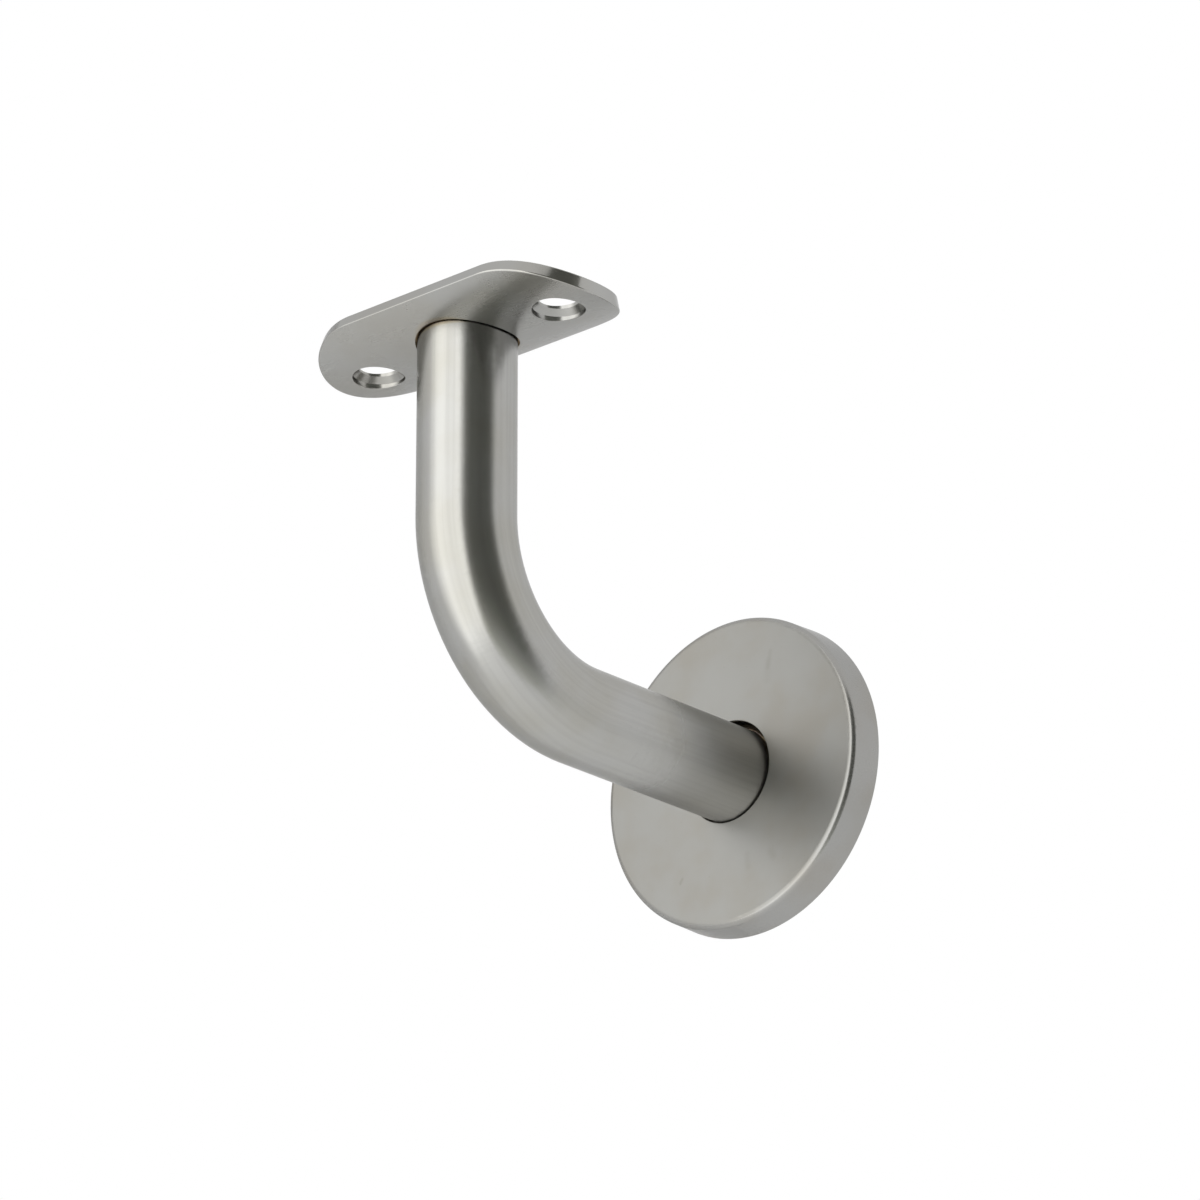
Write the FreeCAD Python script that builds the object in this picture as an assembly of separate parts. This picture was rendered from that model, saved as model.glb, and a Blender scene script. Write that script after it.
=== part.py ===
import FreeCAD, Part

import math
import os

# Handrail bracket for a wall, in millimetres.
#
# Frame: the wall is the plane y = 0 and the room is on the side of negative y. The origin is on the
# wall at the axis of the arm. +Z is up, and X runs along the wall and along the handrail.
#
# A bent round bar comes out of a screwed wall flange and carries a rolled saddle under the rail.
# A loose dished cover slides along the bar and hides the flange and its screws.

# ---- Driving dimensions ------------------------------------------------------------------------

# Arm: one length of solid round bar with one right-angle bend
ARM_D = 19.0
ARM_PROJECTION = 81.7      # wall to the axis of the upright run
ARM_BEND_R = 30.9          # radius of the bend, on the bar's axis
BAR_END_CHAMFER = 0.8      # weld preparation on the upper end
BAR_END_SETBACK = 0.4      # upper end below the trough's lowest line

# Saddle: flat blank with round ends, rolled to a trough and drilled
SADDLE_RISE = 65.9         # arm's axis at the wall to the lowest line of the saddle's underside
SADDLE_L = 66.0
SADDLE_W = 32.3            # across the underside, straight from edge to edge
SADDLE_T = 2.7
SADDLE_UNDER_R = 35.8      # radius of the rolled underside
SADDLE_EDGE_R = 0.25       # softened edges, top and bottom
SADDLE_BAR_GAP = 0.4       # gap all round between the bar and its hole
SADDLE_WELD_DEPTH = 0.7    # how far the weld reaches down the gap, from the end of the bar

# Screw holes in the saddle
RAIL_SCREW_D = 7.8
RAIL_SCREW_HEAD_D = 10.05
RAIL_SCREW_RECESS = 1.1    # straight wall before the countersink, so the screw's head sits below the surface
RAIL_SCREW_RIM_R = 0.15    # softened rim of the recess
RAIL_SCREW_INSET = 9.8     # tip of the plate to the centre of the hole

# Cover: thin drawn dish with a softened front edge and a slightly flared rim
COVER_D = 62.4             # outside, at the front
COVER_DEPTH = 7.4
COVER_WALL = 1.0
COVER_FLARE = 0.25         # how much further out the rim stands at the wall, on the radius
COVER_EDGE_R = 1.3
COVER_BAR_GAP = 0.7        # gap all round between the bar and its hole, when centred
COVER_LIP_R = 0.2          # softened edge of its hole
COVER_LIFT = 0.5           # the loose cover sits this far above the bar's axis

# Wall flange: round plate behind the cover, with countersunk screw holes
FLANGE_T = 4.0
FLANGE_COVER_GAP = 1.2     # flange's rim to the inside of the cover's front corner, when centred
FLANGE_CHAMFER = 0.4
FLANGE_WELD_CLEARANCE = 0.6  # weld to the inside of the cover
WALL_SCREW_COUNT = 3
WALL_SCREW_D = 5.5
WALL_SCREW_HEAD_D = 10.4

# ---- Worked out from them ----------------------------------------------------------------------

ARM_R = ARM_D / 2
TROUGH_R = SADDLE_UNDER_R - SADDLE_T
TROUGH_Z = SADDLE_RISE + SADDLE_T
ROLL_AXIS_Z = SADDLE_RISE + SADDLE_UNDER_R
BAR_END_Z = TROUGH_Z - BAR_END_SETBACK
SADDLE_BAR_HOLE_R = ARM_R + SADDLE_BAR_GAP
RAIL_SCREW_X = SADDLE_L / 2 - RAIL_SCREW_INSET
COVER_HOLE_R = ARM_R + COVER_BAR_GAP
FLANGE_R = COVER_D / 2 - COVER_WALL - FLANGE_COVER_GAP
FLANGE_WELD_LEG = COVER_DEPTH - COVER_WALL - FLANGE_T - FLANGE_WELD_CLEARANCE
WALL_SCREW_CIRCLE_R = (FLANGE_R + ARM_R + FLANGE_WELD_LEG) / 2

RAILWARD = FreeCAD.Vector(1, 0, 0)
WALLWARD = FreeCAD.Vector(0, 1, 0)
ROOMWARD = FreeCAD.Vector(0, -1, 0)
UP = FreeCAD.Vector(0, 0, 1)
WALL_CENTRE = FreeCAD.Vector(0, 0, 0)
RISER_FOOT = FreeCAD.Vector(0, -ARM_PROJECTION, 0)


def rim_edges(shape, on_rim):
    """Edges of a shape that lie on a rim, told by a test that each of their ends and middles passes."""
    found = []
    for edge in shape.Edges:
        middle = edge.valueAt((edge.FirstParameter + edge.LastParameter) / 2)
        points = [vertex.Point for vertex in edge.Vertexes] + [middle]
        if all(on_rim(point) for point in points):
            found.append(edge)
    return found


def countersunk_drill(start, direction, depth, hole_d, head_d):
    """Cutter for a drilled hole, with a 45-degree countersink where it starts."""
    drill = Part.makeCylinder(hole_d / 2, depth, start, direction)
    sink = Part.makeCone(head_d / 2, hole_d / 2, (head_d - hole_d) / 2, start, direction)
    return drill.fuse(sink)


def recessed_drill(start, direction, depth, hole_d, head_d, recess):
    """Cutter for a drilled hole whose countersink lies below a straight recess of the head's size."""
    counterbore = Part.makeCylinder(head_d / 2, recess, start, direction)
    return counterbore.fuse(countersunk_drill(start + direction * recess, direction, depth, hole_d, head_d))


# ---- Arm ---------------------------------------------------------------------------------------

def make_arm():
    """Bar from the front of the flange, round the bend and up into the saddle's hole."""
    bend_inset = ARM_BEND_R * (1 - math.sqrt(0.5))
    start = WALL_CENTRE + ROOMWARD * FLANGE_T
    bend_start = WALL_CENTRE + ROOMWARD * (ARM_PROJECTION - ARM_BEND_R)
    bend_middle = RISER_FOOT + (WALLWARD + UP) * bend_inset
    bend_end = RISER_FOOT + UP * ARM_BEND_R
    end = RISER_FOOT + UP * BAR_END_Z
    path = Part.Wire([
        Part.makeLine(start, bend_start),
        Part.Arc(bend_start, bend_middle, bend_end).toShape(),
        Part.makeLine(bend_end, end),
    ])
    section = Part.Wire([Part.makeCircle(ARM_R, start, ROOMWARD)])
    bar = path.makePipeShell([section], True, False)
    upper_rim = rim_edges(bar, lambda point: abs(point.z - BAR_END_Z) < 1e-4)
    return bar.makeChamfer(BAR_END_CHAMFER, upper_rim)


# ---- Saddle ------------------------------------------------------------------------------------

def saddle_outline():
    """Plan of the plate: two straight sides and two round ends, drawn under its place."""
    end_r = SADDLE_W / 2
    straight = SADDLE_L / 2 - end_r
    edges = []
    for hand in (RAILWARD, RAILWARD * -1):
        centre = RISER_FOOT + hand * straight
        across = UP.cross(hand) * end_r
        tip = centre + hand * end_r
        edges.append(Part.Arc(centre - across, tip, centre + across).toShape())
        edges.append(Part.makeLine(centre + across, centre + across - hand * (2 * straight)))
    return Part.Wire(edges)


def make_saddle():
    """Plate thickened from its rolled underside, so its edges stay square to it, then drilled."""
    roll_axis = RISER_FOOT + UP * ROLL_AXIS_Z
    roll = Part.makeCylinder(SADDLE_UNDER_R, SADDLE_L, roll_axis - RAILWARD * (SADDLE_L / 2), RAILWARD)
    rolled_side = max(roll.Faces, key=lambda face: face.Area)
    below_axis = Part.Face(saddle_outline()).extrude(UP * ROLL_AXIS_Z)
    underside = rolled_side.common(below_axis).Faces[0]
    plate = underside.makeOffsetShape(-SADDLE_T, 1e-4, fill=True)

    def on_outline(point):
        r = math.hypot(point.y + ARM_PROJECTION, point.z - ROLL_AXIS_Z)
        return min(abs(r - SADDLE_UNDER_R), abs(r - TROUGH_R)) < 1e-3

    plate = plate.makeFillet(SADDLE_EDGE_R, rim_edges(plate, on_outline))
    cutters = [Part.makeCylinder(SADDLE_BAR_HOLE_R, ROLL_AXIS_Z, RISER_FOOT, UP)]
    for hand in (-1, 1):
        start = RISER_FOOT + RAILWARD * (hand * RAIL_SCREW_X) + UP * SADDLE_RISE
        cutters.append(recessed_drill(start, UP, SADDLE_UNDER_R, RAIL_SCREW_D, RAIL_SCREW_HEAD_D,
                                      RAIL_SCREW_RECESS))
    plate = plate.cut(cutters)

    def on_recess_rim(point):
        off_screw = math.hypot(abs(point.x) - RAIL_SCREW_X, point.y + ARM_PROJECTION) - RAIL_SCREW_HEAD_D / 2
        off_underside = math.hypot(point.y + ARM_PROJECTION, point.z - ROLL_AXIS_Z) - SADDLE_UNDER_R
        return max(abs(off_screw), abs(off_underside)) < 1e-3

    return plate.makeFillet(RAIL_SCREW_RIM_R, rim_edges(plate, on_recess_rim))


def make_saddle_weld(arm):
    """Weld run in from above over the end of the bar, dressed flush with the trough."""
    foot = RISER_FOOT + UP * (BAR_END_Z - SADDLE_WELD_DEPTH)
    pool = Part.makeCylinder(SADDLE_BAR_HOLE_R, SADDLE_UNDER_R, foot, UP)
    roll_axis = RISER_FOOT + UP * ROLL_AXIS_Z
    dressing = Part.makeCylinder(TROUGH_R, SADDLE_L, roll_axis - RAILWARD * (SADDLE_L / 2), RAILWARD)
    below_axis = Part.makeBox(SADDLE_L, SADDLE_W, ROLL_AXIS_Z - foot.z,
                              foot - RAILWARD * (SADDLE_L / 2) - WALLWARD * (SADDLE_W / 2))
    return pool.common(below_axis).cut([dressing, arm])


# ---- Wall flange and its weld ------------------------------------------------------------------

def make_wall_flange():
    """Round plate flat on the wall, screwed from the front."""
    plate = Part.makeCylinder(FLANGE_R, FLANGE_T, WALL_CENTRE, ROOMWARD)
    front_rim = rim_edges(plate, lambda point: abs(point.y + FLANGE_T) < 1e-6)
    plate = plate.makeChamfer(FLANGE_CHAMFER, front_rim)
    top_hole = WALL_CENTRE + UP * WALL_SCREW_CIRCLE_R + ROOMWARD * FLANGE_T
    drill = countersunk_drill(top_hole, WALLWARD, FLANGE_T, WALL_SCREW_D, WALL_SCREW_HEAD_D)
    drills = []
    for index in range(WALL_SCREW_COUNT):
        turned = drill.copy()
        turned.rotate(WALL_CENTRE, WALLWARD, index * 360 / WALL_SCREW_COUNT)
        drills.append(turned)
    return plate.cut(drills)


def make_flange_weld():
    """Fillet weld in the corner between the bar and the front of the flange."""
    corner = FreeCAD.Vector(ARM_R, -FLANGE_T, 0)
    along_flange = corner + RAILWARD * FLANGE_WELD_LEG
    along_bar = corner + ROOMWARD * FLANGE_WELD_LEG
    bead = Part.Face(Part.makePolygon([corner, along_flange, along_bar, corner]))
    return bead.revolve(WALL_CENTRE, WALLWARD, 360)


# ---- Cover -------------------------------------------------------------------------------------

def make_cover_rose():
    """Drawn dish, open to the wall, with a round hole that clears the bar."""
    centre = WALL_CENTRE + UP * COVER_LIFT
    front_r = COVER_D / 2
    dish = Part.makeCone(front_r + COVER_FLARE, front_r, COVER_DEPTH, centre, ROOMWARD)
    front_rim = rim_edges(dish, lambda point: abs(point.y + COVER_DEPTH) < 1e-6)
    dish = dish.makeFillet(COVER_EDGE_R, front_rim)
    back = max(dish.Faces, key=lambda face: face.CenterOfMass.y)
    shell = dish.makeThickness([back], -COVER_WALL, 1e-4)
    shell = shell.cut(Part.makeCylinder(COVER_HOLE_R, COVER_DEPTH, centre, ROOMWARD))

    def on_lip(point):
        from_axis = math.hypot(point.x - centre.x, point.z - centre.z)
        return abs(from_axis - COVER_HOLE_R) < 1e-4 and abs(point.y + COVER_DEPTH) < 1e-4

    return shell.makeFillet(COVER_LIP_R, rim_edges(shell, on_lip))


# ---- Files -------------------------------------------------------------------------------------

def export(name, shape):
    """Write one sub-part to its own STEP file and say how large it is."""
    shape.exportStep(os.path.join("parts", name + ".step"))
    print(f"{name}: {len(shape.Solids)} solid, {shape.Volume / 1000:.2f} cm3, valid {shape.isValid()}")


def main():
    os.makedirs("parts", exist_ok=True)
    arm = make_arm()
    export("arm", arm)
    export("saddle", make_saddle())
    export("saddle_weld", make_saddle_weld(arm))
    export("wall_flange", make_wall_flange())
    export("flange_weld", make_flange_weld())
    export("cover_rose", make_cover_rose())


main()
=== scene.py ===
"""Looks and studio for a wall-mounted handrail bracket in satin stainless steel.

The bracket is a bent round bar with a curved saddle for the handrail on its upper end, welded to a round wall flange,
and a thin cover rose that slides along the bar. The CAD solids carry its shape. This script gives each of them its
finish, lays the rippled weld bead on the flange, and sets up a plain studio and the camera.

The bracket's own frame has the wall in the plane y = 0 with the room towards -Y, +Z up to the handrail and X along it,
and the bar leaves the wall along the Y axis. The bracket's sizes are given in millimetres, the studio's in metres.
"""

import logging
import math
import random
from dataclasses import dataclass, field
from enum import Enum
from typing import Callable, Union

import bmesh
import bpy
from mathutils import Matrix, Vector


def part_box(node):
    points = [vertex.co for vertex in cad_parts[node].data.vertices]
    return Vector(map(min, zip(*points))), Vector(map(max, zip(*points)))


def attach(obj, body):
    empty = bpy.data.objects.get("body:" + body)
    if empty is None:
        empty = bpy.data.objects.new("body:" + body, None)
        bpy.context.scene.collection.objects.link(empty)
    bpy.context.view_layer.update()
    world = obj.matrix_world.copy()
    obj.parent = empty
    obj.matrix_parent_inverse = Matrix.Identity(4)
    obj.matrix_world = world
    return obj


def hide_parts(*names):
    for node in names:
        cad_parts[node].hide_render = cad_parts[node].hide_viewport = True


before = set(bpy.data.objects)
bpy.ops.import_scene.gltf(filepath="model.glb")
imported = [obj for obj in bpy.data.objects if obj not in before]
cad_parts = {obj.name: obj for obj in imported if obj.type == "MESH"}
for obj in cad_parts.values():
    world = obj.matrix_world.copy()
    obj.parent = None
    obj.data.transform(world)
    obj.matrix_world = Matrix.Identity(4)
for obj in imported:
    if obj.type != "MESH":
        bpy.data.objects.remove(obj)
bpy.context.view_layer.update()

MM = 0.001

LOG = logging.getLogger("bracket")

Colour = tuple[float, float, float]
Point = tuple[float, float, float]
Limits = tuple[float, float]  # where something begins and where it is full, or its least and its most
Owner = Union[bpy.types.Material, bpy.types.World, bpy.types.Light]

WHITE: Colour = (1.0, 1.0, 1.0)


# --- Shader graphs ---

class Mixing(Enum):
    """Ways in which one colour goes over another."""

    OVER = "MIX"
    DARKEN = "MULTIPLY"


class Detail(Enum):
    """How many finer octaves a soft variation has."""

    PLAIN = 0.0
    SOFT = 2.0
    CLOUDY = 3.0


class Value:
    """A number that varies over a surface. Arithmetic on it adds Math nodes to its graph."""

    def __init__(self, graph: "Graph", socket: bpy.types.NodeSocket) -> None:
        """Wraps an output socket.

        Args:
            graph: the graph that the socket is in.
            socket: the output that carries the number.
        """
        self.graph = graph
        self.socket = socket

    def math(self, operation: str, *operands: "Number") -> "Value":
        """Adds one Math node.

        Args:
            operation: the Math node's operation.
            operands: the node's inputs in order, values or plain numbers.

        Returns:
            The node's result.
        """
        return self.graph.node("ShaderNodeMath", {"operation": operation}, dict(enumerate(operands)))

    def __add__(self, other: "Number") -> "Value":
        """self + other."""
        return self.math("ADD", self, other)

    def __radd__(self, other: float) -> "Value":
        """other + self."""
        return self.math("ADD", other, self)

    def __sub__(self, other: "Number") -> "Value":
        """self - other."""
        return self.math("SUBTRACT", self, other)

    def __rsub__(self, other: float) -> "Value":
        """other - self."""
        return self.math("SUBTRACT", other, self)

    def __mul__(self, other: "Number") -> "Value":
        """self * other."""
        return self.math("MULTIPLY", self, other)

    def __rmul__(self, other: float) -> "Value":
        """other * self."""
        return self.math("MULTIPLY", other, self)

    def __truediv__(self, other: "Number") -> "Value":
        """self / other."""
        return self.math("DIVIDE", self, other)

    def __rtruediv__(self, other: float) -> "Value":
        """other / self."""
        return self.math("DIVIDE", other, self)

    def __neg__(self) -> "Value":
        """-self."""
        return self.math("MULTIPLY", self, -1.0)

    def at_least(self, least: "Number") -> "Value":
        """The larger of the two."""
        return self.math("MAXIMUM", self, least)

    def at_most(self, most: "Number") -> "Value":
        """The smaller of the two."""
        return self.math("MINIMUM", self, most)

    def root(self) -> "Value":
        """The square root."""
        return self.math("SQRT", self)

    def angle(self, across: "Value") -> "Value":
        """The angle, in radians, of the point (across, self)."""
        return self.math("ARCTAN2", self, across)

    def sine(self) -> "Value":
        """The sine of an angle in radians."""
        return self.math("SINE", self)

    def size(self) -> "Value":
        """The value without its sign."""
        return self.math("ABSOLUTE", self)

    def ramp(self, start: float, end: float) -> "Value":
        """A soft step.

        Args:
            start: where the result is 0.
            end: where the result is 1. It may be below start.

        Returns:
            A value that goes smoothly from 0 to 1.
        """
        inputs = {"Value": self, "From Min": start, "From Max": end}
        return self.graph.node("ShaderNodeMapRange", {"interpolation_type": "SMOOTHSTEP", "clamp": True}, inputs)

    def near(self, middle: float, reach: float) -> "Value":
        """1 where the value is middle, falling softly to 0 where it is further off than reach."""
        return (self - middle).size().ramp(reach, 0.0)


Number = Union[Value, float]
Input = Union[Value, float, Colour]
Stops = tuple[tuple[float, Colour], ...]

NOISE_MIDDLE = 0.5


@dataclass(frozen=True)
class Spot:
    """A point on a piece. It moves with the piece.

    Attributes:
        x: its place along the rail, in millimetres.
        y: its place towards the wall.
        z: its height.
        facing: the x, y and z of the way its surface faces.
    """

    x: Value
    y: Value
    z: Value
    facing: tuple[Value, Value, Value]


class Graph:
    """The nodes of one material, world or lamp."""

    def __init__(self, owner: Owner) -> None:
        """Takes over the owner's nodes.

        Args:
            owner: the material, world or lamp.
        """
        owner.use_nodes = True
        self.owner = owner
        self.tree = owner.node_tree
        self.tree.nodes.clear()

    @staticmethod
    def set_stops(ramp: bpy.types.ColorRamp, stops: Stops) -> None:
        """Sets a ramp's stops.

        Args:
            ramp: the ramp.
            stops: the stops in order, as positions with their colours.
        """
        while len(ramp.elements) > 1:
            ramp.elements.remove(ramp.elements[-1])
        ramp.elements[0].position = stops[0][0]
        for position, _ in stops[1:]:
            ramp.elements.new(position)
        for element, (_, colour) in zip(ramp.elements, stops):
            element.color = (*colour, 1.0)

    def node(self, kind: str, settings: dict[str, object] | None = None,
             inputs: dict[str | int, Input] | None = None, output: str | int = 0) -> Value:
        """Adds any node.

        Args:
            kind: the node's type.
            settings: the node's own properties, which are set first. A ramp's stops go by the name "stops".
            inputs: the values, colours or links of its sockets, by name or place.
            output: the output to return.

        Returns:
            The chosen output.
        """
        made = self.tree.nodes.new(kind)
        for name, setting in (settings or {}).items():
            if name == "stops":
                self.set_stops(made.color_ramp, setting)
            else:
                setattr(made, name, setting)
        for key, given in (inputs or {}).items():
            if isinstance(given, Value):
                self.tree.links.new(given.socket, made.inputs[key])
            elif made.inputs[key].type == "RGBA":
                made.inputs[key].default_value = (*given, 1.0)
            else:
                made.inputs[key].default_value = given
        return Value(self, made.outputs[output] if made.outputs else None)

    def vector(self, x: Number, y: Number, z: Number) -> Value:
        """Three numbers as one vector."""
        return self.node("ShaderNodeCombineXYZ", None, {"X": x, "Y": y, "Z": z})

    def parts(self, vector: Value) -> tuple[Value, Value, Value]:
        """A vector's three numbers."""
        return tuple(self.node("ShaderNodeSeparateXYZ", None, {0: vector}, axis) for axis in "XYZ")

    def spot(self) -> Spot:
        """Reads the point that is being shaded.

        Returns:
            The point.
        """
        here = self.node("ShaderNodeTexCoord", None, None, "Object")
        facing = self.node("ShaderNodeTexCoord", None, None, "Normal")
        scaled = self.node("ShaderNodeVectorMath", {"operation": "SCALE"}, {0: here, "Scale": 1 / MM})
        return Spot(*self.parts(scaled), self.parts(facing))

    def noise(self, where: Value, per_mm: float, detail: Detail = Detail.SOFT) -> Value:
        """Soft random variation between 0 and 1.

        Args:
            where: the place as a vector, in millimetres.
            per_mm: how many waves fit in a millimetre.
            detail: how many finer octaves are added.

        Returns:
            The variation.
        """
        return self.node("ShaderNodeTexNoise", None, {"Vector": where, "Scale": per_mm, "Detail": detail.value})

    def stray(self, where: Value, per_mm: float, detail: Detail = Detail.SOFT) -> Value:
        """Soft random variation to both sides of 0. Its arguments are those of noise."""
        return self.noise(where, per_mm, detail) - NOISE_MIDDLE

    def specks(self, across: Value, up: Value, spacing: float, size: float) -> Value:
        """Tiny scattered marks.

        Args:
            across: the place across the surface, in millimetres.
            up: the place up the surface.
            spacing: the typical distance between two marks, in millimetres.
            size: a mark's radius in millimetres.

        Returns:
            1 on a mark, 0 off it.
        """
        settings = {"voronoi_dimensions": "2D"}
        inputs = {"Vector": self.vector(across, up, 0.0), "Scale": 1 / spacing}
        return self.node("ShaderNodeTexVoronoi", settings, inputs, "Distance").ramp(size / spacing, 0.0)

    def mix(self, amount: Number, below: Input, above: Input, how: Mixing = Mixing.OVER) -> Value:
        """One colour over another.

        Args:
            amount: how much of the upper colour shows, from 0 to 1.
            below: the lower colour.
            above: the upper colour.
            how: how the two combine.

        Returns:
            The combined colour.
        """
        settings = {"data_type": "RGBA", "blend_type": how.value}
        return self.node("ShaderNodeMix", settings, {0: amount, 6: below, 7: above}, 2)

    def shade(self, amount: Number, tone: Input, colour: Colour) -> Value:
        """A tone multiplied by a colour, by an amount from 0 to 1."""
        return self.mix(amount, tone, colour, Mixing.DARKEN)

    def finish(self, surface: Value, kind: str = "Material") -> Owner:
        """Connects a shader to the output, which is of the owner's kind, and returns the owner."""
        self.node(f"ShaderNodeOutput{kind}", None, {"Surface": surface})
        return self.owner


# --- Finishes ---

RING_RADIUS = 20.0  # the radius, in millimetres, at which ring marks have the length that is given for them


@dataclass(frozen=True)
class Marks:
    """Fine marks that lie one way on a surface. Lengths are in millimetres.

    Attributes:
        width: a mark's width.
        length: its length.
        depth: its depth.
    """

    width: float
    length: float
    depth: float


Lay = Callable[[Graph, Spot, Marks], Value]


def along_rail(graph: Graph, spot: Spot, marks: Marks) -> Value:
    """Marks that run along X. The result is the place as a vector in which each is one unit wide and long."""
    return graph.vector(spot.x / marks.length, spot.y / marks.width, spot.z / marks.width)


def even(graph: Graph, spot: Spot, marks: Marks) -> Value:
    """Marks with no direction, as wide as they are long. The result is as that of along_rail."""
    return graph.vector(spot.x / marks.width, spot.y / marks.width, spot.z / marks.width)


def from_wall_axis(spot: Spot) -> Value:
    """How far a point is from the axis of the arm's level run, in millimetres."""
    return (spot.x * spot.x + spot.z * spot.z).root()


def round_wall_axis(graph: Graph, spot: Spot, marks: Marks) -> Value:
    """Marks that run in rings round the arm's level run.

    Args:
        graph: the material's graph.
        spot: the point.
        marks: the marks. Their length is that at the ring radius.

    Returns:
        The place as a vector in which each mark is one unit wide and long.
    """
    radius = from_wall_axis(spot)
    turns = RING_RADIUS / marks.length
    return graph.vector(spot.x / radius * turns, spot.z / radius * turns, (radius + spot.y) / marks.width)


@dataclass
class Coat:
    """What varies over a finish.

    Attributes:
        tone: its colour.
        roughness: how far it spreads a reflection.
        height: its relief in millimetres.
    """

    tone: Value
    roughness: Value
    height: Value


@dataclass(frozen=True)
class HeatTint:
    """The straw, brown and grey-blue film that a weld's heat leaves on the steel beside it.

    Attributes:
        reach: how far from the weld it ends, in millimetres.
        strength: how strongly it colours, from 0 to 1.
        patches_per_mm: how many waves of its unevenness fit in a millimetre.
        unevenness: how far its bands stray, as a part of its reach.
        film: its colours, from the weld outwards.
    """

    reach: float = 3.0
    strength: float = 0.9
    patches_per_mm: float = 0.35
    unevenness: float = 0.35
    film: Stops = ((0.0, (0.66, 0.66, 0.72)), (0.2, (0.5, 0.36, 0.27)), (0.42, (0.78, 0.58, 0.33)),
                   (0.7, (0.98, 0.88, 0.68)), (1.0, WHITE))

    def over(self, graph: Graph, spot: Spot, tone: Value, distance: Value) -> Value:
        """Lays the film over a tone.

        Args:
            graph: the material's graph.
            spot: the point.
            tone: the colour of the steel.
            distance: how far the point is from the weld, in millimetres.

        Returns:
            The tinted colour.
        """
        uneven = graph.stray(graph.vector(spot.x, spot.y, spot.z), self.patches_per_mm)
        place = distance / self.reach + uneven * self.unevenness
        film = graph.node("ShaderNodeValToRGB", {"stops": self.film}, {0: place})
        return graph.shade(self.strength, tone, film)


@dataclass(frozen=True)
class SatinSteel:
    """Satin stainless steel: an even, slightly warm grey with a fine grain and faint clouding.

    Attributes:
        name: the material's name.
        tone: its colour.
        warm_tone: the colour that it clouds towards.
        edge_tone: what is left of its reflection where it is seen almost edge on.
        roughness: how far it spreads a reflection.
        lay: which way the grain runs.
        grain: the lines of the grain.
        grain_dulling: how much the roughness changes from line to line.
        clouds_per_mm: how many clouds fit in a millimetre.
        cloud_limits: the clouds' limits in the variation.
        wear_per_mm: how many patches of wear fit in a millimetre.
        wear_dulling: how much the roughness changes from patch to patch.
        waves_per_mm: how many slow waves of the surface fit in a millimetre.
        wave_depth: their depth in millimetres.
    """

    name: str = "satin_steel"
    tone: Colour = (0.392, 0.391, 0.378)
    warm_tone: Colour = (0.37, 0.364, 0.336)
    edge_tone: Colour = (0.72, 0.72, 0.72)
    roughness: float = 0.2
    lay: Lay = along_rail
    grain: Marks = Marks(0.06, 4.0, 0.0001)
    grain_dulling: float = 0.04
    clouds_per_mm: float = 0.07
    cloud_limits: Limits = (0.35, 0.7)
    wear_per_mm: float = 0.16
    wear_dulling: float = 0.05
    waves_per_mm: float = 0.11
    wave_depth: float = 0.01

    def coat(self, graph: Graph, spot: Spot) -> Coat:
        """Works out the finish at a point.

        Args:
            graph: the material's graph.
            spot: the point.

        Returns:
            The finish there.
        """
        here = graph.vector(spot.x, spot.y, spot.z)
        grain = graph.noise(self.lay(graph, spot, self.grain), 1.0)
        cloud = graph.noise(here, self.clouds_per_mm, Detail.CLOUDY).ramp(*self.cloud_limits)
        tone = graph.mix(cloud, self.tone, self.warm_tone)
        wear = graph.stray(here, self.wear_per_mm, Detail.CLOUDY)
        height = grain * self.grain.depth + graph.noise(here, self.waves_per_mm, Detail.PLAIN) * self.wave_depth
        roughness = self.roughness + (grain - NOISE_MIDDLE) * self.grain_dulling + wear * self.wear_dulling
        return Coat(tone, roughness, height)

    def material(self) -> bpy.types.Material:
        """Builds the material.

        Returns:
            The material, by the finish's name.
        """
        graph = Graph(bpy.data.materials.new(self.name))
        coat = self.coat(graph, graph.spot())
        bump = graph.node("ShaderNodeBump", None, {"Strength": 1.0, "Distance": MM, "Height": coat.height})
        inputs = {"Base Color": coat.tone, "Metallic": 1.0, "Roughness": coat.roughness, "Normal": bump,
                  "Specular Tint": self.edge_tone}
        return graph.finish(graph.node("ShaderNodeBsdfPrincipled", None, inputs))


# --- Sub-assemblies ---

def box_mm(node: str) -> tuple[Vector, Vector]:
    """A CAD node's lowest and highest corners at rest, in millimetres."""
    low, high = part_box(node)
    return Vector(low) / MM, Vector(high) / MM


def dress(node: str, material: bpy.types.Material) -> None:
    """Gives a CAD node one material.

    Args:
        node: the node's name.
        material: the material.
    """
    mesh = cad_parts[node].data
    mesh.materials.clear()
    mesh.materials.append(material)
    LOG.info("%s: %s", node, material.name)


@dataclass(frozen=True)
class Upright:
    """The arm's upright run and what is welded to its end. Lengths are in millimetres.

    Attributes:
        axis: how far its axis stands from the wall.
        radius: the bar's radius.
        top: the height of its end.
        weld_root: the height of the lowest weld metal under the saddle.
        hole: the radius of the saddle's hole for it.
    """

    axis: float
    radius: float
    top: float
    weld_root: float
    hole: float

    def from_axis(self, spot: Spot) -> Value:
        """How far a point is from the upright's axis."""
        off = spot.y + self.axis
        return (spot.x * spot.x + off * off).root()

    def from_weld(self, spot: Spot) -> Value:
        """How far a point of the saddle is from the weld, round the edge of the hole."""
        return (self.weld_root - spot.z).at_least(0.0) + (self.from_axis(spot) - self.hole).at_least(0.0)


def find_upright() -> Upright:
    """Reads the upright's sizes from the frame.

    Returns:
        The upright.
    """
    low, high = box_mm("arm")
    weld_low, weld_high = box_mm("saddle_weld")
    return Upright(-low.y - high.x, high.x, high.z, weld_low.z, weld_high.x)


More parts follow.
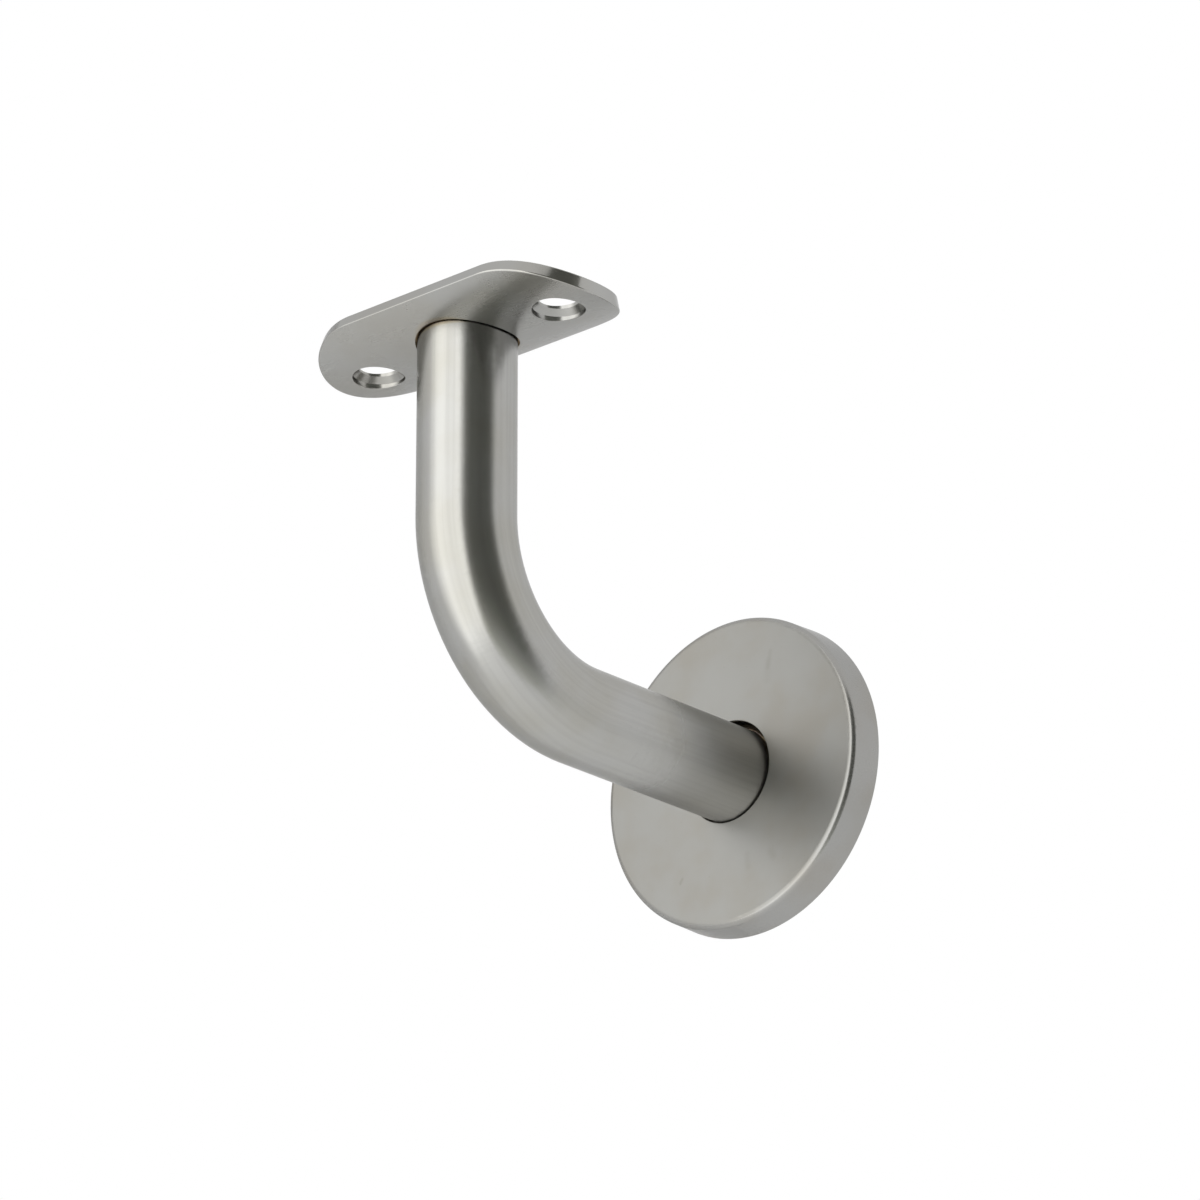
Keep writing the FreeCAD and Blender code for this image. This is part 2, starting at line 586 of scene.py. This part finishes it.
@dataclass(frozen=True)
class BarFinish(SatinSteel):
    """The bar's finish: grain round the bar, a run dulled by the cover and painted paler in front of it as painted
    light, turned ends and the heat tint of both welds.

    Attributes:
        upright: the arm's upright run.
        flange_weld_edge: how far the weld at the flange reaches from the wall, in millimetres.
        end_facing: how squarely the turned ends face along the bar.
        end_depth: how far they reach below the bar's top, in millimetres.
        end_dullness: how much duller the ends are than the bar.
        ring_pitch: the distance between two tool marks on the ends, in millimetres.
        ring_depth: the depth of the tool marks, in millimetres.
        draw_lines: the faint lines that drawing left along the bar, as marks round it: very wide and short.
        draw_limits: the lines' limits in the variation.
        draw_tone: the lines' colour, over the steel's.
        scuff: how much duller the run is that the cover slides on.
        scuff_limits: how far that run reaches from the wall, in millimetres.
        painted_light_limits: where the bar is painted paler, as painted light in front of the cover, from the wall, in
            millimetres.
        painted_light_tone: the paler colour painted there.
        tint: the film beside the welds.
    """

    name: str = "satin_bar"
    grain: Marks = Marks(0.05, 5.0, 0.011)
    wave_depth: float = 0.045
    upright: Upright = field(default_factory=find_upright)
    flange_weld_edge: float = 5.8
    end_facing: Limits = (0.8, 0.95)
    end_depth: Limits = (1.0, 0.2)
    end_dullness: float = 0.12
    ring_pitch: float = 0.3
    ring_depth: float = 0.004
    draw_lines: Marks = Marks(70.0, 0.7, 0.002)
    draw_limits: Limits = (0.4, 0.75)
    draw_tone: Colour = (0.93, 0.93, 0.93)
    scuff: float = 0.15
    scuff_limits: Limits = (42.0, 20.0)
    painted_light_limits: Limits = (26.0, 12.0)
    painted_light_tone: Colour = (0.48, 0.476, 0.455)
    tint: HeatTint = HeatTint(1.3, 0.6)

    def coat(self, graph: Graph, spot: Spot) -> Coat:
        """Works out the finish at a point.

        Args:
            graph: the material's graph.
            spot: the point.

        Returns:
            The finish there.
        """
        base = super().coat(graph, spot)
        upper_start, upper_full = (self.upright.top - depth for depth in self.end_depth)
        upper = spot.facing[2].ramp(*self.end_facing) * spot.z.ramp(upper_start, upper_full)
        lower = spot.facing[1].ramp(*self.end_facing)
        rings = upper * self.upright.from_axis(spot) + lower * from_wall_axis(spot)
        cut = (rings * (math.tau / self.ring_pitch)).sine()
        on_end = upper + lower
        lines = graph.noise(self.lay(graph, spot, self.draw_lines), 1.0, Detail.CLOUDY)
        scuffed = (-spot.y).ramp(*self.scuff_limits)
        # Painted light: the bar is painted paler just in front of the cover, where the cover's reflection darkens it.
        tone = graph.mix((-spot.y).ramp(*self.painted_light_limits), base.tone, self.painted_light_tone)
        tone = graph.shade(lines.ramp(*self.draw_limits), tone, self.draw_tone)
        below_weld = (self.upright.weld_root - spot.z).size()
        tone = self.tint.over(graph, spot, tone, below_weld + on_end * self.tint.reach)
        from_flange_weld = (-spot.y - self.flange_weld_edge).size()
        tone = self.tint.over(graph, spot, tone, from_flange_weld + on_end * self.tint.reach)
        height = base.height + lines * self.draw_lines.depth + cut * on_end * self.ring_depth
        return Coat(tone, base.roughness + on_end * self.end_dullness + scuffed * self.scuff, height)


@dataclass
class BentArm:
    """The bar, from the wall through its bend up to the saddle.

    Attributes:
        upright: its upright run.
        bend: the radius of its bend, on its axis, in millimetres.
    """

    upright: Upright
    bend: float = 30.9

    def round_bar(self, graph: Graph, spot: Spot, marks: Marks) -> Value:
        """Marks that run round the bar and follow its bend.

        Args:
            graph: the material's graph.
            spot: the point.
            marks: the marks.

        Returns:
            The place as a vector in which each mark is one unit wide and long.
        """
        straight = self.upright.axis - self.bend
        beyond = (-spot.y - straight).at_least(0.0)
        below = (self.bend - spot.z).at_least(0.0)
        offset = (beyond * beyond + below * below).root() - self.bend
        along = (-spot.y).at_most(straight) + beyond.angle(below) * self.bend + (spot.z - self.bend).at_least(0.0)
        return graph.vector(spot.x / marks.length, offset / marks.length, along / marks.width)

    def build(self) -> None:
        """Gives the bar its finish."""
        dress("arm", BarFinish(lay=self.round_bar, upright=self.upright).material())


@dataclass(frozen=True)
class PlateFinish(SatinSteel):
    """The saddle's finish: grain along the plate, polished edges, drilled holes and the heat tint of the weld.

    Attributes:
        upright: the arm's upright run.
        roll_axis: the height of the axis that the plate is rolled about, in millimetres.
        edge_facing: how squarely edges and holes face to or from that axis.
        edge_roughness: how far the polished edges spread a reflection.
        hole_width: how far the holes reach from the plate's middle across the rail, in millimetres.
        hole_length: how far they reach along the rail.
        hole_roughness: how far the walls of the holes spread a reflection.
        cone_facing: how squarely the countersunk cones face to that axis.
        cone_painted_shade: the colour of the painted shade that darkens them.
        dressed_radius: how far the belt's marks reach from the upright's axis, in millimetres.
        dressed_facing: how squarely the dressed side faces up.
        dressed_dullness: how much duller the steel is under the belt's marks.
        belt: the belt's marks.
        tint: the film beside the weld.
    """

    name: str = "satin_plate"
    tone: Colour = (0.384, 0.383, 0.37)
    warm_tone: Colour = (0.364, 0.357, 0.334)
    roughness: float = 0.28
    upright: Upright = field(default_factory=find_upright)
    roll_axis: float = 101.7
    edge_facing: Limits = (0.9, 0.5)
    edge_roughness: float = 0.13
    hole_width: Limits = (12.5, 11.0)
    hole_length: Limits = (30.0, 28.5)
    hole_roughness: float = 0.22
    cone_facing: Limits = (0.3, 0.6)
    cone_painted_shade: Colour = (0.82, 0.82, 0.82)
    dressed_radius: Limits = (18.0, 12.0)
    dressed_facing: Limits = (0.3, 0.7)
    dressed_dullness: float = 0.1
    belt: Marks = Marks(0.12, 5.0, 0.002)
    tint: HeatTint = HeatTint(1.1, 0.35)

    def coat(self, graph: Graph, spot: Spot) -> Coat:
        """Works out the finish at a point.

        Args:
            graph: the material's graph.
            spot: the point.

        Returns:
            The finish there.
        """
        base = super().coat(graph, spot)
        off, drop = spot.y + self.upright.axis, spot.z - self.roll_axis
        across = (spot.facing[1] * off + spot.facing[2] * drop) / (off * off + drop * drop).root()
        edge = across.size().ramp(*self.edge_facing)
        inner = edge * off.size().ramp(*self.hole_width) * spot.x.size().ramp(*self.hole_length)
        outer = edge - inner
        dressed = self.upright.from_axis(spot).ramp(*self.dressed_radius) * spot.facing[2].ramp(*self.dressed_facing)
        aslant = graph.vector((spot.x + off) / self.belt.length, (spot.x - off) / self.belt.width, spot.z)
        belt = graph.stray(aslant, 1.0)
        tone = self.tint.over(graph, spot, base.tone, self.upright.from_weld(spot))
        # Painted shade: the countersunk cones are darkened in colour.
        tone = graph.shade(inner * across.size().ramp(*self.cone_facing), tone, self.cone_painted_shade)
        roughness = base.roughness + outer * (self.edge_roughness - self.roughness)
        roughness = roughness + inner * (self.hole_roughness - self.roughness) + dressed * self.dressed_dullness
        return Coat(tone, roughness, base.height + belt * dressed * self.belt.depth)


@dataclass(frozen=True)
class DressedWeld(SatinSteel):
    """The weld in the trough, ground flush with a belt.

    Attributes:
        root_facing: how squarely its root faces up.
        root_tone: the colour of the heat tint on its root, over the steel's.
    """

    name: str = "dressed_weld"
    tone: Colour = (0.4, 0.39, 0.365)
    warm_tone: Colour = (0.36, 0.34, 0.295)
    roughness: float = 0.3
    grain: Marks = Marks(0.12, 5.0, 0.002)
    root_facing: Limits = (0.0, -0.5)
    root_tone: Colour = (0.72, 0.54, 0.34)

    def coat(self, graph: Graph, spot: Spot) -> Coat:
        """Works out the finish at a point.

        Args:
            graph: the material's graph.
            spot: the point.

        Returns:
            The finish there.
        """
        base = super().coat(graph, spot)
        under = spot.facing[2].ramp(*self.root_facing)
        return Coat(graph.shade(under, base.tone, self.root_tone), base.roughness, base.height)


@dataclass
class RailSaddle:
    """The rolled plate under the handrail and the weld that holds it.

    Attributes:
        upright: the arm's upright run, which the weld joins it to.
    """

    upright: Upright

    def build(self) -> None:
        """Gives plate and weld their finishes."""
        dress("saddle", PlateFinish(upright=self.upright).material())
        dress("saddle_weld", DressedWeld().material())


@dataclass(frozen=True)
class Smudge:
    """A faint mark left by handling, on the face of the cover. Lengths are in millimetres.

    Attributes:
        start: one end, as the place along X and up from the arm's axis.
        end: the other end.
        width: how wide the mark is.
        strength: how dark it is, from 0 to 1.
    """

    start: tuple[float, float]
    end: tuple[float, float]
    width: float
    strength: float

    def mask(self, spot: Spot) -> Value:
        """How much of the mark covers a point.

        Args:
            spot: the point.

        Returns:
            The mark's strength on its line, falling to 0 at its edges.
        """
        run = (self.end[0] - self.start[0], self.end[1] - self.start[1])
        length = math.hypot(*run)
        unit = (run[0] / length, run[1] / length)
        across, up = spot.x - self.start[0], spot.z - self.start[1]
        along = (across * unit[0] + up * unit[1]).at_least(0.0).at_most(length)
        off, over = across - along * unit[0], up - along * unit[1]
        return (off * off + over * over).root().ramp(self.width, 0.0) * self.strength


@dataclass(frozen=True)
class CoverFinish(SatinSteel):
    """The cover's finish: even and duller than the bar, with a few faint marks, and ringed by the press inside.

    Attributes:
        face_facing: how squarely its face faces the wall.
        face_dullness: how much duller its face is than its rim.
        face_painted_shade: the painted shade that darkens its face below its rim.
        smudges: the marks on its face.
        speck_spacing: the distance between two specks on it, in millimetres.
        speck_size: a speck's radius in millimetres.
        speck_strength: how dark the specks are, from 0 to 1.
        smudge_tone: the colour that marks and specks darken it by.
        inside_facing: how squarely its inside faces the wall.
        inside_dullness: how much duller the inside is than the rim.
        rings: the drawing rings inside.
    """

    name: str = "satin_cover"
    tone: Colour = (0.337, 0.336, 0.326)
    warm_tone: Colour = (0.318, 0.308, 0.286)
    roughness: float = 0.27
    lay: Lay = even
    grain: Marks = Marks(0.09, 4.0, 0.0001)
    face_facing: Limits = (-0.85, -0.98)
    face_dullness: float = 0.13
    face_painted_shade: Colour = (0.87, 0.868, 0.855)
    smudges: tuple[Smudge, ...] = (
        Smudge((11.0, 22.6), (10.3, 19.5), 0.9, 0.2),
        Smudge((10.4, 20.5), (10.0, 17.0), 1.6, 0.13),
        Smudge((-12.5, -19.4), (-12.0, -18.7), 0.5, 0.4),
        Smudge((4.5, -17.5), (4.6, -20.0), 1.3, 0.17),
        Smudge((10.5, -18.4), (11.0, -19.2), 1.5, 0.2),
    )
    speck_spacing: float = 9.0
    speck_size: float = 0.16
    speck_strength: float = 0.5
    smudge_tone: Colour = (0.7, 0.69, 0.65)
    inside_facing: Limits = (0.2, 0.6)
    inside_dullness: float = 0.15
    rings: Marks = Marks(0.35, 30.0, 0.003)

    def coat(self, graph: Graph, spot: Spot) -> Coat:
        """Works out the finish at a point.

        Args:
            graph: the material's graph.
            spot: the point.

        Returns:
            The finish there.
        """
        base = super().coat(graph, spot)
        front = spot.facing[1].ramp(*self.face_facing)
        inside = spot.facing[1].ramp(*self.inside_facing)
        marks = self.smudges[0].mask(spot)
        for smudge in self.smudges[1:]:
            marks = marks + smudge.mask(spot)
        marks = marks + graph.specks(spot.x, spot.z, self.speck_spacing, self.speck_size) * self.speck_strength
        rings = graph.stray(round_wall_axis(graph, spot, self.rings), 1.0)
        # Painted shade: the face is painted darker than the rim.
        tone = graph.shade(front, base.tone, self.face_painted_shade)
        tone = graph.shade(marks * front, tone, self.smudge_tone)
        roughness = base.roughness + front * self.face_dullness + inside * self.inside_dullness
        return Coat(tone, roughness, base.height + rings * inside * self.rings.depth)


@dataclass
class CoverRose:
    """The thin dish that hides the flange.

    Attributes:
        finish: its finish.
    """

    finish: CoverFinish = CoverFinish()

    def build(self) -> None:
        """Gives the dish its finish."""
        dress("cover_rose", self.finish.material())


@dataclass(frozen=True)
class FlangeFinish(SatinSteel):
    """The flange's finish: dull from the mill on its faces, turned on its rim, heat-tinted round the weld.

    Attributes:
        rim_facing: how squarely the rim faces along the arm.
        rim_shine: how much less the rim spreads a reflection than the faces do.
        turning: the tool marks on the rim.
        weld_middle: how far the middle of the weld is from the arm's axis, in millimetres.
        weld_reach: how far the weld reaches to both sides of its middle, in millimetres.
        back_facing: how squarely the back faces the wall.
        back_place: how much further from the weld the back counts, as a part of the film's reach.
        tint: the film beside the weld.
    """

    name: str = "mill_flange"
    tone: Colour = (0.36, 0.358, 0.35)
    warm_tone: Colour = (0.335, 0.328, 0.31)
    roughness: float = 0.36
    grain: Marks = Marks(0.15, 4.0, 0.002)
    rim_facing: Limits = (0.8, 0.4)
    rim_shine: float = 0.1
    turning: Marks = Marks(0.12, 40.0, 0.006)
    weld_middle: float = 10.4
    weld_reach: float = 1.0
    back_facing: Limits = (0.5, 0.9)
    back_place: float = 0.4
    tint: HeatTint = HeatTint(6.0, 0.9)

    def coat(self, graph: Graph, spot: Spot) -> Coat:
        """Works out the finish at a point.

        Args:
            graph: the material's graph.
            spot: the point.

        Returns:
            The finish there.
        """
        base = super().coat(graph, spot)
        rim = spot.facing[1].size().ramp(*self.rim_facing)
        turned = graph.stray(round_wall_axis(graph, spot, self.turning), 1.0)
        to_weld = ((from_wall_axis(spot) - self.weld_middle).size() - self.weld_reach).at_least(0.0)
        back = spot.facing[1].ramp(*self.back_facing) * self.tint.reach * self.back_place
        tone = self.tint.over(graph, spot, base.tone, to_weld + back)
        return Coat(tone, base.roughness - rim * self.rim_shine, base.height + turned * rim * self.turning.depth)


@dataclass(frozen=True)
class BeadFinish(SatinSteel):
    """The raw bead's finish: bright on the ripples, straw, brown and grey-blue in patches.

    Attributes:
        patches_per_mm: how many patches fit in a millimetre.
        patch_dulling: how much the roughness changes from patch to patch.
        film: the colours of the patches.
        film_strength: how strongly they colour, from 0 to 1.
    """

    name: str = "raw_weld"
    tone: Colour = (0.27, 0.262, 0.245)
    warm_tone: Colour = (0.25, 0.235, 0.205)
    roughness: float = 0.42
    lay: Lay = even
    grain: Marks = Marks(0.2, 4.0, 0.004)
    patches_per_mm: float = 0.3
    patch_dulling: float = 0.2
    film: Stops = ((0.3, (0.95, 0.95, 0.97)), (0.45, (1.0, 0.86, 0.6)), (0.58, (0.66, 0.47, 0.34)),
                   (0.72, (0.6, 0.62, 0.74)))
    film_strength: float = 0.85

    def coat(self, graph: Graph, spot: Spot) -> Coat:
        """Works out the finish at a point.

        Args:
            graph: the material's graph.
            spot: the point.

        Returns:
            The finish there.
        """
        base = super().coat(graph, spot)
        patch = graph.noise(graph.vector(spot.x, spot.y, spot.z), self.patches_per_mm, Detail.CLOUDY)
        tint = graph.node("ShaderNodeValToRGB", {"stops": self.film}, {0: patch})
        tone = graph.shade(self.film_strength, base.tone, tint)
        return Coat(tone, base.roughness + (patch - NOISE_MIDDLE) * self.patch_dulling, base.height)


@dataclass(frozen=True)
class Hump:
    """A rise or dip where a run of weld starts and stops. Lengths are in millimetres.

    Attributes:
        place: how far past the stop its middle is.
        width: how far it spreads to both sides.
        rise: its height, below 0 for a dip.
    """

    place: float
    width: float
    rise: float

    def at(self, distance: float) -> float:
        """Its height at a distance past the stop."""
        return self.rise * math.exp(-((distance - self.place) / self.width) ** 2)


@dataclass
class FilletBead:
    """The weld bead that joins bar and flange, laid in one run of overlapping ripples. Lengths are in millimetres.

    Attributes:
        bar_radius: the bar's radius.
        leg: how far the bead reaches along bar and flange.
        foot: the place of the flange's face along Y.
        crown: how far it bulges.
        ripples: how many ripples the run has.
        ripple_depth: how deep the valley between two ripples is.
        ripple_middle: the part of that depth at which the bead keeps its mean height.
        sweep: how far a ripple's middle runs ahead of its edges, in ripples.
        steps: how many faces a ripple has along the run.
        spans: how many faces it has across.
        stop: the angle at which the run starts and ends, in radians.
        ends: the rise and the dip at the stop.
        sunk: how far its edges are sunk into bar and flange.
        mean_leg: the mean length of its legs, as a part of the full leg.
        wave_counts: how many times each wave of its unevenness goes round the bar.
        wave_sizes: the smallest and largest size of a wave, as parts of the leg.
        seed: the seed of its unevenness.
    """

    bar_radius: float
    leg: float
    foot: float
    crown: float = 0.16
    ripples: int = 46
    ripple_depth: float = 0.13
    ripple_middle: float = 0.6
    sweep: float = 0.9
    steps: int = 10
    spans: int = 12
    stop: float = -2.2
    ends: tuple[Hump, ...] = (Hump(1.0, 0.9, 0.22), Hump(-0.4, 0.6, -0.26))
    sunk: float = 0.05
    mean_leg: float = 0.97
    wave_counts: tuple[int, ...] = (2, 3, 5, 9)
    wave_sizes: Limits = (0.008, 0.016)
    seed: int = 11

    def profile(self, angle: float, waves: list[tuple[int, float, float]]) -> list[tuple[float, float]]:
        """The bead's section at one place on the run.

        Args:
            angle: the place round the bar, in radians.
            waves: the run's slow unevenness, as counts, phases and sizes.

        Returns:
            Points as radius and height over the flange, from the bar over the bead to the flange and back inside.
        """
        uneven = sum(size * math.sin(count * angle + phase) for count, phase, size in waves)
        from_stop = math.remainder(angle - self.stop, math.tau) * self.bar_radius
        end = sum(hump.at(from_stop) for hump in self.ends)
        leg = self.leg * (self.mean_leg + uneven)
        slant = math.sqrt(0.5)
        points = []
        for place in range(self.spans + 1):
            across = place / self.spans
            arch = math.sin(math.pi * across)
            phase = angle * self.ripples / math.tau + self.sweep * arch
            ripple = 1.0 - (2.0 * (phase - math.floor(phase)) - 1.0) ** 2
            out = arch * (self.crown + end) + arch ** 0.5 * self.ripple_depth * (ripple - self.ripple_middle)
            points.append((self.bar_radius + leg * across + out * slant, leg * (1.0 - across) + out * slant))
        points[0] = (self.bar_radius - self.sunk, points[0][1])
        points[-1] = (points[-1][0], -self.sunk)
        return points + [(self.bar_radius - self.sunk, -self.sunk)]

    def build(self) -> None:
        """Builds the bead as one closed ring, in place of the plain weld."""
        chance = random.Random(self.seed)
        waves = [(count, chance.uniform(0.0, math.tau), chance.uniform(*self.wave_sizes))
                 for count in self.wave_counts]
        form = bmesh.new()
        rings = []
        for step in range(self.ripples * self.steps):
            angle = math.tau * step / (self.ripples * self.steps)
            ring = [form.verts.new((radius * math.cos(angle) * MM, (self.foot - height) * MM,
                                    radius * math.sin(angle) * MM)) for radius, height in self.profile(angle, waves)]
            rings.append(ring)
        for here, ahead in zip(rings, rings[1:] + rings[:1]):
            for place in range(len(here)):
                face = form.faces.new((here[place - 1], here[place], ahead[place], ahead[place - 1]))
                face.smooth = place in range(1, self.spans + 1)
        bmesh.ops.recalc_face_normals(form, faces=form.faces)
        mesh = bpy.data.meshes.new("weld_bead")
        form.to_mesh(mesh)
        form.free()
        mesh.materials.append(BeadFinish().material())
        bead = bpy.data.objects.new("weld_bead", mesh)
        bpy.context.scene.collection.objects.link(bead)
        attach(bead, "bracket")
        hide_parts("flange_weld")
        LOG.info("weld_bead: %d faces, %.1f mm leg", len(mesh.polygons), self.leg)


@dataclass
class WallFixing:
    """The flange screwed to the wall and the fillet weld round the bar.

    Attributes:
        upright: the arm's upright run, which has the bar's radius.
    """

    upright: Upright

    def build(self) -> None:
        """Gives the flange its finish and lays the bead."""
        low, high = box_mm("flange_weld")
        dress("wall_flange", FlangeFinish(weld_middle=(high.x + self.upright.radius) / 2).material())
        FilletBead(self.upright.radius, high.x - self.upright.radius, high.y).build()


# --- Studio ---

@dataclass
class Viewpoint:
    """The camera, given by the point that it looks at. Angles are in degrees, lengths in metres.

    Attributes:
        aim: the point.
        azimuth: where it stands, from the room's -Y direction towards +X.
        elevation: how far above the point's level it stands.
        roll: how far it is turned about its own axis.
        distance: how far it is from the point.
        lens_mm: its focal length in millimetres.
        sensor_mm: the width of its sensor in millimetres.
    """

    aim: Point = (-0.01327, -0.02964, 0.03318)
    azimuth: float = 41.83
    elevation: float = -21.756
    roll: float = -0.144
    distance: float = 1.1133
    lens_mm: float = 172.1
    sensor_mm: float = 36.0

    def build(self) -> None:
        """Makes the camera and makes it the scene's."""
        turn, tilt = math.radians(self.azimuth), math.radians(self.elevation)
        back = Vector((math.sin(turn) * math.cos(tilt), -math.cos(turn) * math.cos(tilt), math.sin(tilt)))
        camera = bpy.data.cameras.new("camera")
        camera.lens, camera.sensor_width = self.lens_mm, self.sensor_mm
        seat = bpy.data.objects.new("camera", camera)
        level = back.to_track_quat("Z", "Y").to_matrix().to_4x4()
        place = Matrix.Translation(Vector(self.aim) + back * self.distance)
        seat.matrix_world = place @ level @ Matrix.Rotation(math.radians(self.roll), 4, "Z")
        bpy.context.scene.collection.objects.link(seat)
        bpy.context.scene.camera = seat
        LOG.info("camera: %.3f m from the bracket", self.distance)


@dataclass(frozen=True)
class Panel:
    """A flat studio panel that faces the bracket. No camera sees it. Lengths are in metres.

    Attributes:
        name: what it is called.
        distance: how far it stands from the bracket.
        left: its left edge, in degrees from the room's -Y direction towards +X.
        right: its right edge, in the same way.
        bottom: the height of its lower edge.
        top: the height of its upper edge.
    """

    name: str
    distance: float
    left: float
    right: float
    bottom: float
    top: float

    def size(self) -> tuple[float, float]:
        """Its width and height."""
        return 2 * self.distance * math.tan(math.radians(self.right - self.left) / 2), self.top - self.bottom

    def stand(self, data: bpy.types.ID) -> bpy.types.Object:
        """Puts a lamp or mesh at the panel's place, facing the bracket.

        Args:
            data: the lamp or mesh, which faces its own -Z.

        Returns:
            The object.
        """
        panel = bpy.data.objects.new(self.name, data)
        turn = Matrix.Rotation(math.radians(self.right + self.left) / 2, 4, "Z")
        move = Matrix.Translation((0.0, -self.distance, (self.top + self.bottom) / 2))
        panel.matrix_world = turn @ move @ Matrix.Rotation(math.radians(90), 4, "X")
        panel.visible_camera = False
        bpy.context.scene.collection.objects.link(panel)
        LOG.info("%s: %.2f x %.2f m", self.name, *self.size())
        return panel


@dataclass(frozen=True)
class SoftLamp(Panel):
    """A panel that lights the bracket softly. Its places are parts of its width, from its left edge.

    Attributes:
        brightness: how bright its face is, where 1 is white.
        colour: the colour of its light.
        fade: where its light has faded in.
        dim_middle: the middle of a dimmer band.
        dim_reach: how far the band reaches to both sides.
        dimming: how much dimmer it is in the band's middle.
    """

    brightness: float = 1.25
    colour: Colour = (1.0, 0.995, 0.965)
    fade: float = 0.42
    dim_middle: float = 0.68
    dim_reach: float = 0.25
    dimming: float = 0.24

    def build(self) -> None:
        """Makes the lamp and stands it in its place."""
        lamp = bpy.data.lights.new(self.name, "AREA")
        lamp.shape = "RECTANGLE"
        lamp.size, lamp.size_y = self.size()
        lamp.energy = self.brightness * math.pi * lamp.size * lamp.size_y
        lamp.color = self.colour
        graph = Graph(lamp)
        face = graph.node("ShaderNodeNewGeometry", None, None, "Parametric")
        across = graph.parts(face)[0]
        strength = across.ramp(0.0, self.fade) * (1.0 - across.near(self.dim_middle, self.dim_reach) * self.dimming)
        graph.finish(graph.node("ShaderNodeEmission", None, {"Strength": strength}), "Light")
        self.stand(lamp)


@dataclass(frozen=True)
class MattCard(Panel):
    """A matt panel that only the metal sees.

    Attributes:
        shade: how pale its middle is.
        side_shade: how pale its sides are.
        foot_shade: how pale its lower edge is.
        hue: the colour that tints it.
        side_limits: how far the sides are from its middle, as parts of its width.
        foot_limits: how far the foot is above its middle, as parts of its height.
    """

    shade: float
    side_shade: float
    foot_shade: float
    hue: Colour = WHITE
    side_limits: Limits = (0.2, 0.5)
    foot_limits: Limits = (0.0, -0.5)

    def build(self) -> None:
        """Makes the card and stands it in its place."""
        width, height = self.size()
        mesh = bpy.data.meshes.new(self.name)
        corners = [(side * width / 2, rise * height / 2, 0.0) for side, rise in ((-1, -1), (1, -1), (1, 1), (-1, 1))]
        mesh.from_pydata(corners, [], [(0, 3, 2, 1)])
        graph = Graph(bpy.data.materials.new(self.name))
        spot = graph.spot()
        side, rise = spot.x * (MM / width), spot.y * (MM / height)
        tone = graph.mix(side.size().ramp(*self.side_limits), (self.shade,) * 3, (self.side_shade,) * 3)
        tone = graph.mix(rise.ramp(*self.foot_limits), tone, (self.foot_shade,) * 3)
        tone = graph.shade(1.0, tone, self.hue)
        mesh.materials.append(graph.finish(graph.node("ShaderNodeBsdfDiffuse", None, {"Color": tone})))
        card = self.stand(mesh)
        card.visible_shadow = card.visible_diffuse = False


@dataclass
class Studio:
    """A pale floor at the height that a handrail bracket hangs over it, a white surround, a soft lamp and two cards.

    Attributes:
        floor_drop: how far the floor is below the arm's axis, in metres.
        floor_size: the length of its sides in metres.
        floor_shade: how pale it is.
        fill: how bright the surround is as a light.
        lamp: the soft lamp in front.
        dark_card: the dark card towards +X.
        pale_card: the pale card towards -X.
    """

    floor_drop: float = 0.9
    floor_size: float = 16.0
    floor_shade: float = 0.95
    fill: float = 1.0
    lamp: SoftLamp = SoftLamp("soft_lamp", distance=0.8, left=-51.2, right=28.3, bottom=-0.88, top=0.85)
    dark_card: MattCard = MattCard("dark_card", distance=0.7, left=31.0, right=100.0, bottom=-0.88, top=0.7,
                                   shade=0.14, side_shade=0.22, foot_shade=0.65, hue=(0.98, 1.0, 0.92))
    pale_card: MattCard = MattCard("pale_card", distance=0.9, left=-140.0, right=-70.0, bottom=-0.88, top=0.9,
                                   shade=0.7, side_shade=0.78, foot_shade=0.75)

    def build_floor(self) -> None:
        """Lays the floor."""
        half = self.floor_size / 2
        mesh = bpy.data.meshes.new("floor")
        corners = [(-half, -half, 0.0), (half, -half, 0.0), (half, half, 0.0), (-half, half, 0.0)]
        mesh.from_pydata(corners, [], [(0, 1, 2, 3)])
        graph = Graph(bpy.data.materials.new("floor"))
        matt = graph.node("ShaderNodeBsdfDiffuse", None, {"Color": (self.floor_shade,) * 3})
        mesh.materials.append(graph.finish(matt))
        floor = bpy.data.objects.new("floor", mesh)
        floor.location.z = -self.floor_drop
        bpy.context.scene.collection.objects.link(floor)

    def build_surround(self) -> None:
        """Makes the world white wherever it is seen, also in the metal, and a soft fill elsewhere."""
        world = bpy.data.worlds.new("surround")
        bpy.context.scene.world = world
        graph = Graph(world)
        seen = graph.node("ShaderNodeLightPath", None, None, "Is Camera Ray")
        for kind in ("Is Glossy Ray", "Is Transmission Ray"):
            seen = seen.at_least(graph.node("ShaderNodeLightPath", None, None, kind))
        inputs = {"Color": WHITE, "Strength": seen * (1.0 - self.fill) + self.fill}
        graph.finish(graph.node("ShaderNodeBackground", None, inputs), "World")

    def build(self) -> None:
        """Sets up the floor, the surround, the lamp and the cards."""
        bpy.context.scene.view_settings.view_transform = "Standard"
        self.build_floor()
        self.build_surround()
        for panel in (self.lamp, self.dark_card, self.pale_card):
            panel.build()


def main() -> None:
    """Builds the studio and dresses every piece."""
    logging.basicConfig(level=logging.INFO, format="%(name)s: %(message)s")
    Viewpoint().build()
    Studio().build()
    upright = find_upright()
    for part in (BentArm(upright), RailSaddle(upright), CoverRose(), WallFixing(upright)):
        part.build()


if __name__ == "__main__":
    main()
